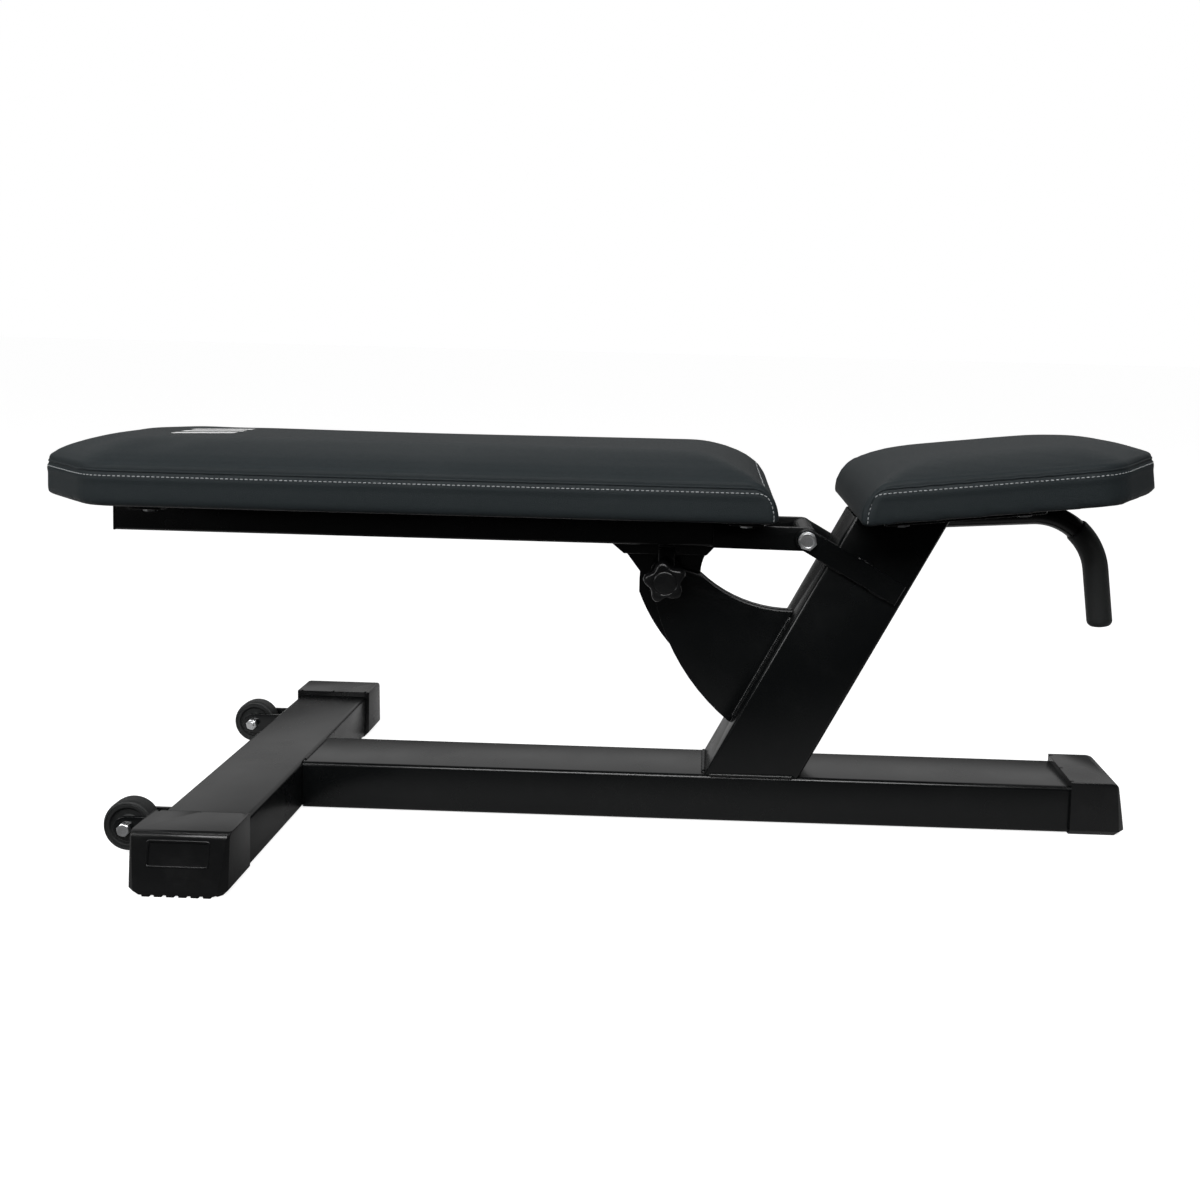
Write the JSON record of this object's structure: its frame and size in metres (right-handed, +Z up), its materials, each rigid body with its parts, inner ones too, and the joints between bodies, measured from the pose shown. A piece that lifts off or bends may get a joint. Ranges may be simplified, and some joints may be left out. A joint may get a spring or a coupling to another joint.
{
  "type": "adjustable weight bench",
  "caption": "Adjustable weight bench with a hinged backrest held by a pull pin in an index sector, a fixed seat, a T-shaped tube base, a lifting handle and transport wheels.",
  "frame": {"origin": "on the floor, under the middle of the bench's bounding box", "axes": "+X along the bench from the head of the backrest to the seat, +Y across it to the side away from the knob, +Z up"},
  "size_m": [1.2959, 0.573, 0.4672],
  "materials": {
    "coated_steel": "black powder coat, satin gloss",
    "zinc": "zinc-plated fasteners",
    "gloss_plastic": "glossy black moulding",
    "matte_plastic": "matt black moulding",
    "rubber": "dark grey rubber",
    "vinyl": "charcoal vinyl-coated fabric over foam, with light stitching",
    "plywood": "plywood board",
    "nylon": "natural nylon bush",
    "spring_steel": "bright spring wire"
  },
  "bodies": {
    "stand": {"base_tube": "coated_steel", "foot_cap_far": "gloss_plastic", "foot_cap_near": "gloss_plastic", "foot_tube": "coated_steel", "front_cap": "gloss_plastic", "guide_plate_far": "coated_steel", "guide_plate_near": "coated_steel", "handle_grip": "rubber", "handle_tube": "coated_steel", "housing_nut": "zinc", "pin_housing": "coated_steel", "pin_spring": "spring_steel", "pivot_bolt": "zinc", "pivot_cheek_far": "coated_steel", "pivot_cheek_near": "coated_steel", "pivot_nut": "zinc", "pivot_washer_far": "zinc", "pivot_washer_near": "zinc", "post": "coated_steel", "rest_stop": "coated_steel", "rest_stop_pad": "rubber", "seat_board": "plywood", "seat_cushion": "vinyl", "seat_plate": "coated_steel", "seat_screw_1": "zinc", "seat_screw_2": "zinc", "seat_screw_3": "zinc", "seat_screw_4": "zinc", "wheel_axle_far": "zinc", "wheel_axle_near": "zinc", "wheel_fork_far": "coated_steel", "wheel_fork_near": "coated_steel", "wheel_nut_far": "zinc", "wheel_nut_near": "zinc"},
    "backrest": {"back_tube": "coated_steel", "back_tube_plug": "matte_plastic", "hinge_ear_near": "coated_steel", "hinge_ear_far": "coated_steel", "pivot_bush_near": "nylon", "pivot_bush_far": "nylon", "pivot_tube": "coated_steel", "index_sector": "coated_steel", "sector_flange": "coated_steel", "back_cushion": "vinyl", "back_board": "plywood", "back_bar_head": "coated_steel", "back_bar_pivot": "coated_steel", "back_screw_1": "zinc", "back_screw_2": "zinc", "back_screw_3": "zinc", "back_screw_4": "zinc"},
    "pull_pin": {"pull_pin": "zinc"},
    "knob": {"star_knob": "gloss_plastic"},
    "roller_near": {"wheel_near": "rubber", "wheel_bush_near": "nylon"},
    "roller_far": {"wheel_far": "rubber", "wheel_bush_far": "nylon"}
  },
  "joints": [
    {"name": "back_tilt", "type": "hinge", "parent": "stand", "child": "backrest", "pos_m": [0.2494, 0, 0.3438], "axis": [0, 1, 0], "range_deg": [0, 65]},
    {"name": "pin_slide", "type": "slide", "parent": "stand", "child": "pull_pin", "axis": [0, 1, 0], "range_m": [0, 0.01]},
    {"name": "knob_turn", "type": "hinge", "parent": "pull_pin", "child": "knob", "pos_m": [0.08478, -0.0539, 0.29126], "axis": [0, 1, 0], "continuous": true},
    {"name": "wheel_turn_near", "type": "hinge", "parent": "stand", "child": "roller_near", "pos_m": [-0.486, -0.1805, 0.033], "axis": [0, 1, 0], "continuous": true},
    {"name": "wheel_turn_far", "type": "hinge", "parent": "stand", "child": "roller_far", "pos_m": [-0.486, 0.1805, 0.033], "axis": [0, 1, 0], "continuous": true}
  ]
}
